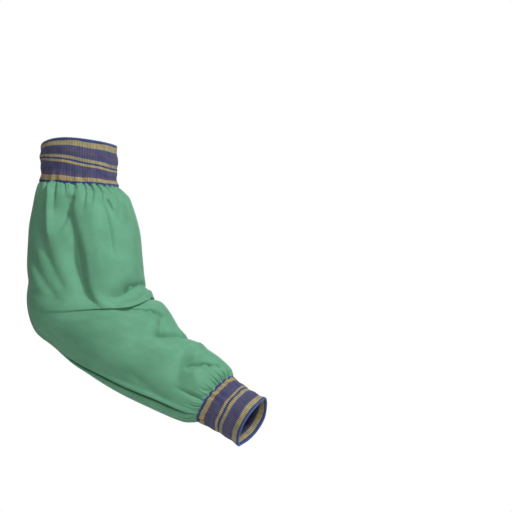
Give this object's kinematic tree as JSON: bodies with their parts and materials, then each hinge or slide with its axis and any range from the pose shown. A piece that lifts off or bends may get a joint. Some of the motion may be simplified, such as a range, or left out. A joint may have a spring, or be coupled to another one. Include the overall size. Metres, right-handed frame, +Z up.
{
  "type": "welding sleeve",
  "caption": "Bent protective cloth sleeve for welding, a loose gathered tube with a wide striped elastic band at each end.",
  "frame": {"origin": "middle of the upper arm band's tube", "axes": "+Z up along the upper arm, towards its open mouth; +X across, towards the side that the wrist points to; -Y is the front, which the outer elbow pleats face"},
  "size_m": [0.3315, 0.1906, 0.4083],
  "materials": {
    "green_cloth": "matt twill of flame-retardant cotton",
    "elastic": "ribbed knitted elastic with tan stripes",
    "elastic_stripe": "ribbed knitted elastic, tan yarn",
    "thread": "dark blue sewing thread"
  },
  "bodies": {
    "root": {"cloth_tube": "green_cloth", "upper_arm_band": "elastic", "wrist_band": "elastic"}
  },
  "joints": []
}
